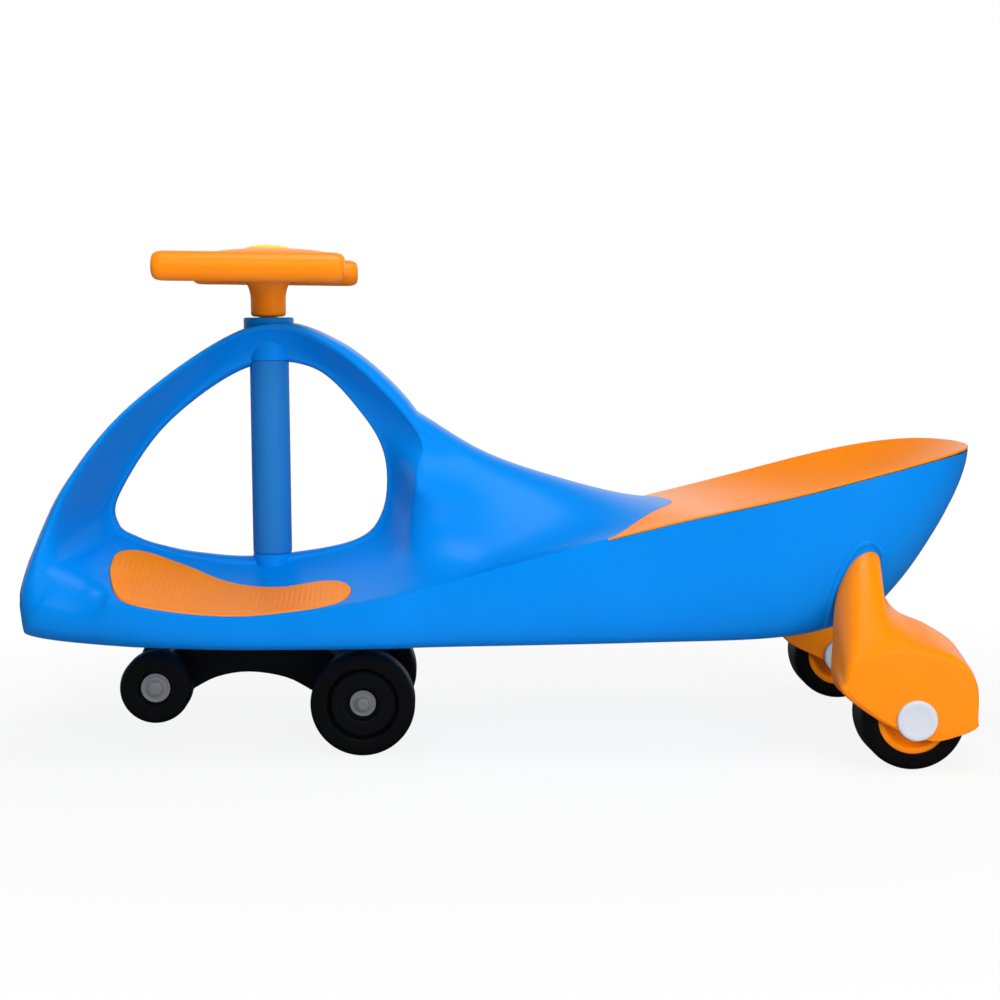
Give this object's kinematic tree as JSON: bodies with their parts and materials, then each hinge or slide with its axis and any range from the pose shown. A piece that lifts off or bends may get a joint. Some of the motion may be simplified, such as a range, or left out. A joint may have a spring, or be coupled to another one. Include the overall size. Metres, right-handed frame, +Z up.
{
  "type": "wiggle car",
  "caption": "Ride-on toy car with a moulded arch body, dished seat, foot pads, butterfly steering wheel on a shaft to a swivelling wheel truck, and outrigger rear wheels.",
  "frame": {"origin": "bottom centre of the bounding box, on the floor", "axes": "nose at -X, stern at +X, left side at -Y, +Z up"},
  "size_m": [0.7698, 0.34, 0.4079],
  "materials": {
    "blue_plastic": "satin moulded polypropylene",
    "sleeve_plastic": "matte extruded tube",
    "orange_plastic": "satin moulded polypropylene",
    "yellow_plastic": "gloss",
    "white_plastic": "satin",
    "black_plastic": "fine grain",
    "black_tyre": "smooth polyurethane",
    "steel": "zinc plated"
  },
  "bodies": {
    "body": {"body_shell": "blue_plastic", "seat_insert": "orange_plastic", "foot_pad_left": "orange_plastic", "foot_pad_right": "orange_plastic", "column_sleeve": "sleeve_plastic", "upper_bush": "black_plastic", "lower_bush": "black_plastic", "rear_pod_left": "orange_plastic", "rear_pod_right": "orange_plastic", "rear_axle_left": "steel", "rear_axle_right": "steel", "axle_caps_left": "white_plastic", "axle_caps_right": "white_plastic", "pod_screws": "steel"},
    "steering": {"steering_wheel": "orange_plastic", "wheel_cap": "yellow_plastic", "wheel_bolt": "steel", "steering_shaft": "steel", "truck_pin": "steel", "thrust_washer": "steel", "steering_truck": "black_plastic", "front_axle": "steel", "front_axle_nuts": "steel", "front_axle_washers": "steel", "roller_bolts": "steel", "roller_washers": "steel"},
    "front_wheel_left": {"front_tyre_left": "black_tyre", "front_hub_left": "black_plastic"},
    "front_wheel_right": {"front_tyre_right": "black_tyre", "front_hub_right": "black_plastic"},
    "front_roller_left": {"roller_left": "black_tyre"},
    "front_roller_right": {"roller_right": "black_tyre"},
    "rear_wheel_left": {"rear_tyre_left": "black_tyre", "rear_hub_left": "orange_plastic"},
    "rear_wheel_right": {"rear_tyre_right": "black_tyre", "rear_hub_right": "orange_plastic"}
  },
  "joints": [
    {"name": "steering_turn", "type": "hinge", "parent": "body", "child": "steering", "pos_m": [-0.19, 0, 0.2], "axis": [0, 0, 1], "continuous": true},
    {"name": "front_wheel_left_spin", "type": "hinge", "parent": "steering", "child": "front_wheel_left", "pos_m": [-0.114, -0.071, 0.04175], "axis": [0, 1, 0], "continuous": true},
    {"name": "front_roller_left_spin", "type": "hinge", "parent": "steering", "child": "front_roller_left", "pos_m": [-0.28, -0.0565, 0.054], "axis": [0, 1, 0], "continuous": true},
    {"name": "rear_wheel_left_spin", "type": "hinge", "parent": "body", "child": "rear_wheel_left", "pos_m": [0.31, -0.133, 0.04075], "axis": [0, 1, 0], "continuous": true},
    {"name": "front_wheel_right_spin", "type": "hinge", "parent": "steering", "child": "front_wheel_right", "pos_m": [-0.114, 0.071, 0.04175], "axis": [0, 1, 0], "continuous": true},
    {"name": "front_roller_right_spin", "type": "hinge", "parent": "steering", "child": "front_roller_right", "pos_m": [-0.28, 0.0565, 0.054], "axis": [0, 1, 0], "continuous": true},
    {"name": "rear_wheel_right_spin", "type": "hinge", "parent": "body", "child": "rear_wheel_right", "pos_m": [0.31, 0.133, 0.04075], "axis": [0, 1, 0], "continuous": true}
  ]
}
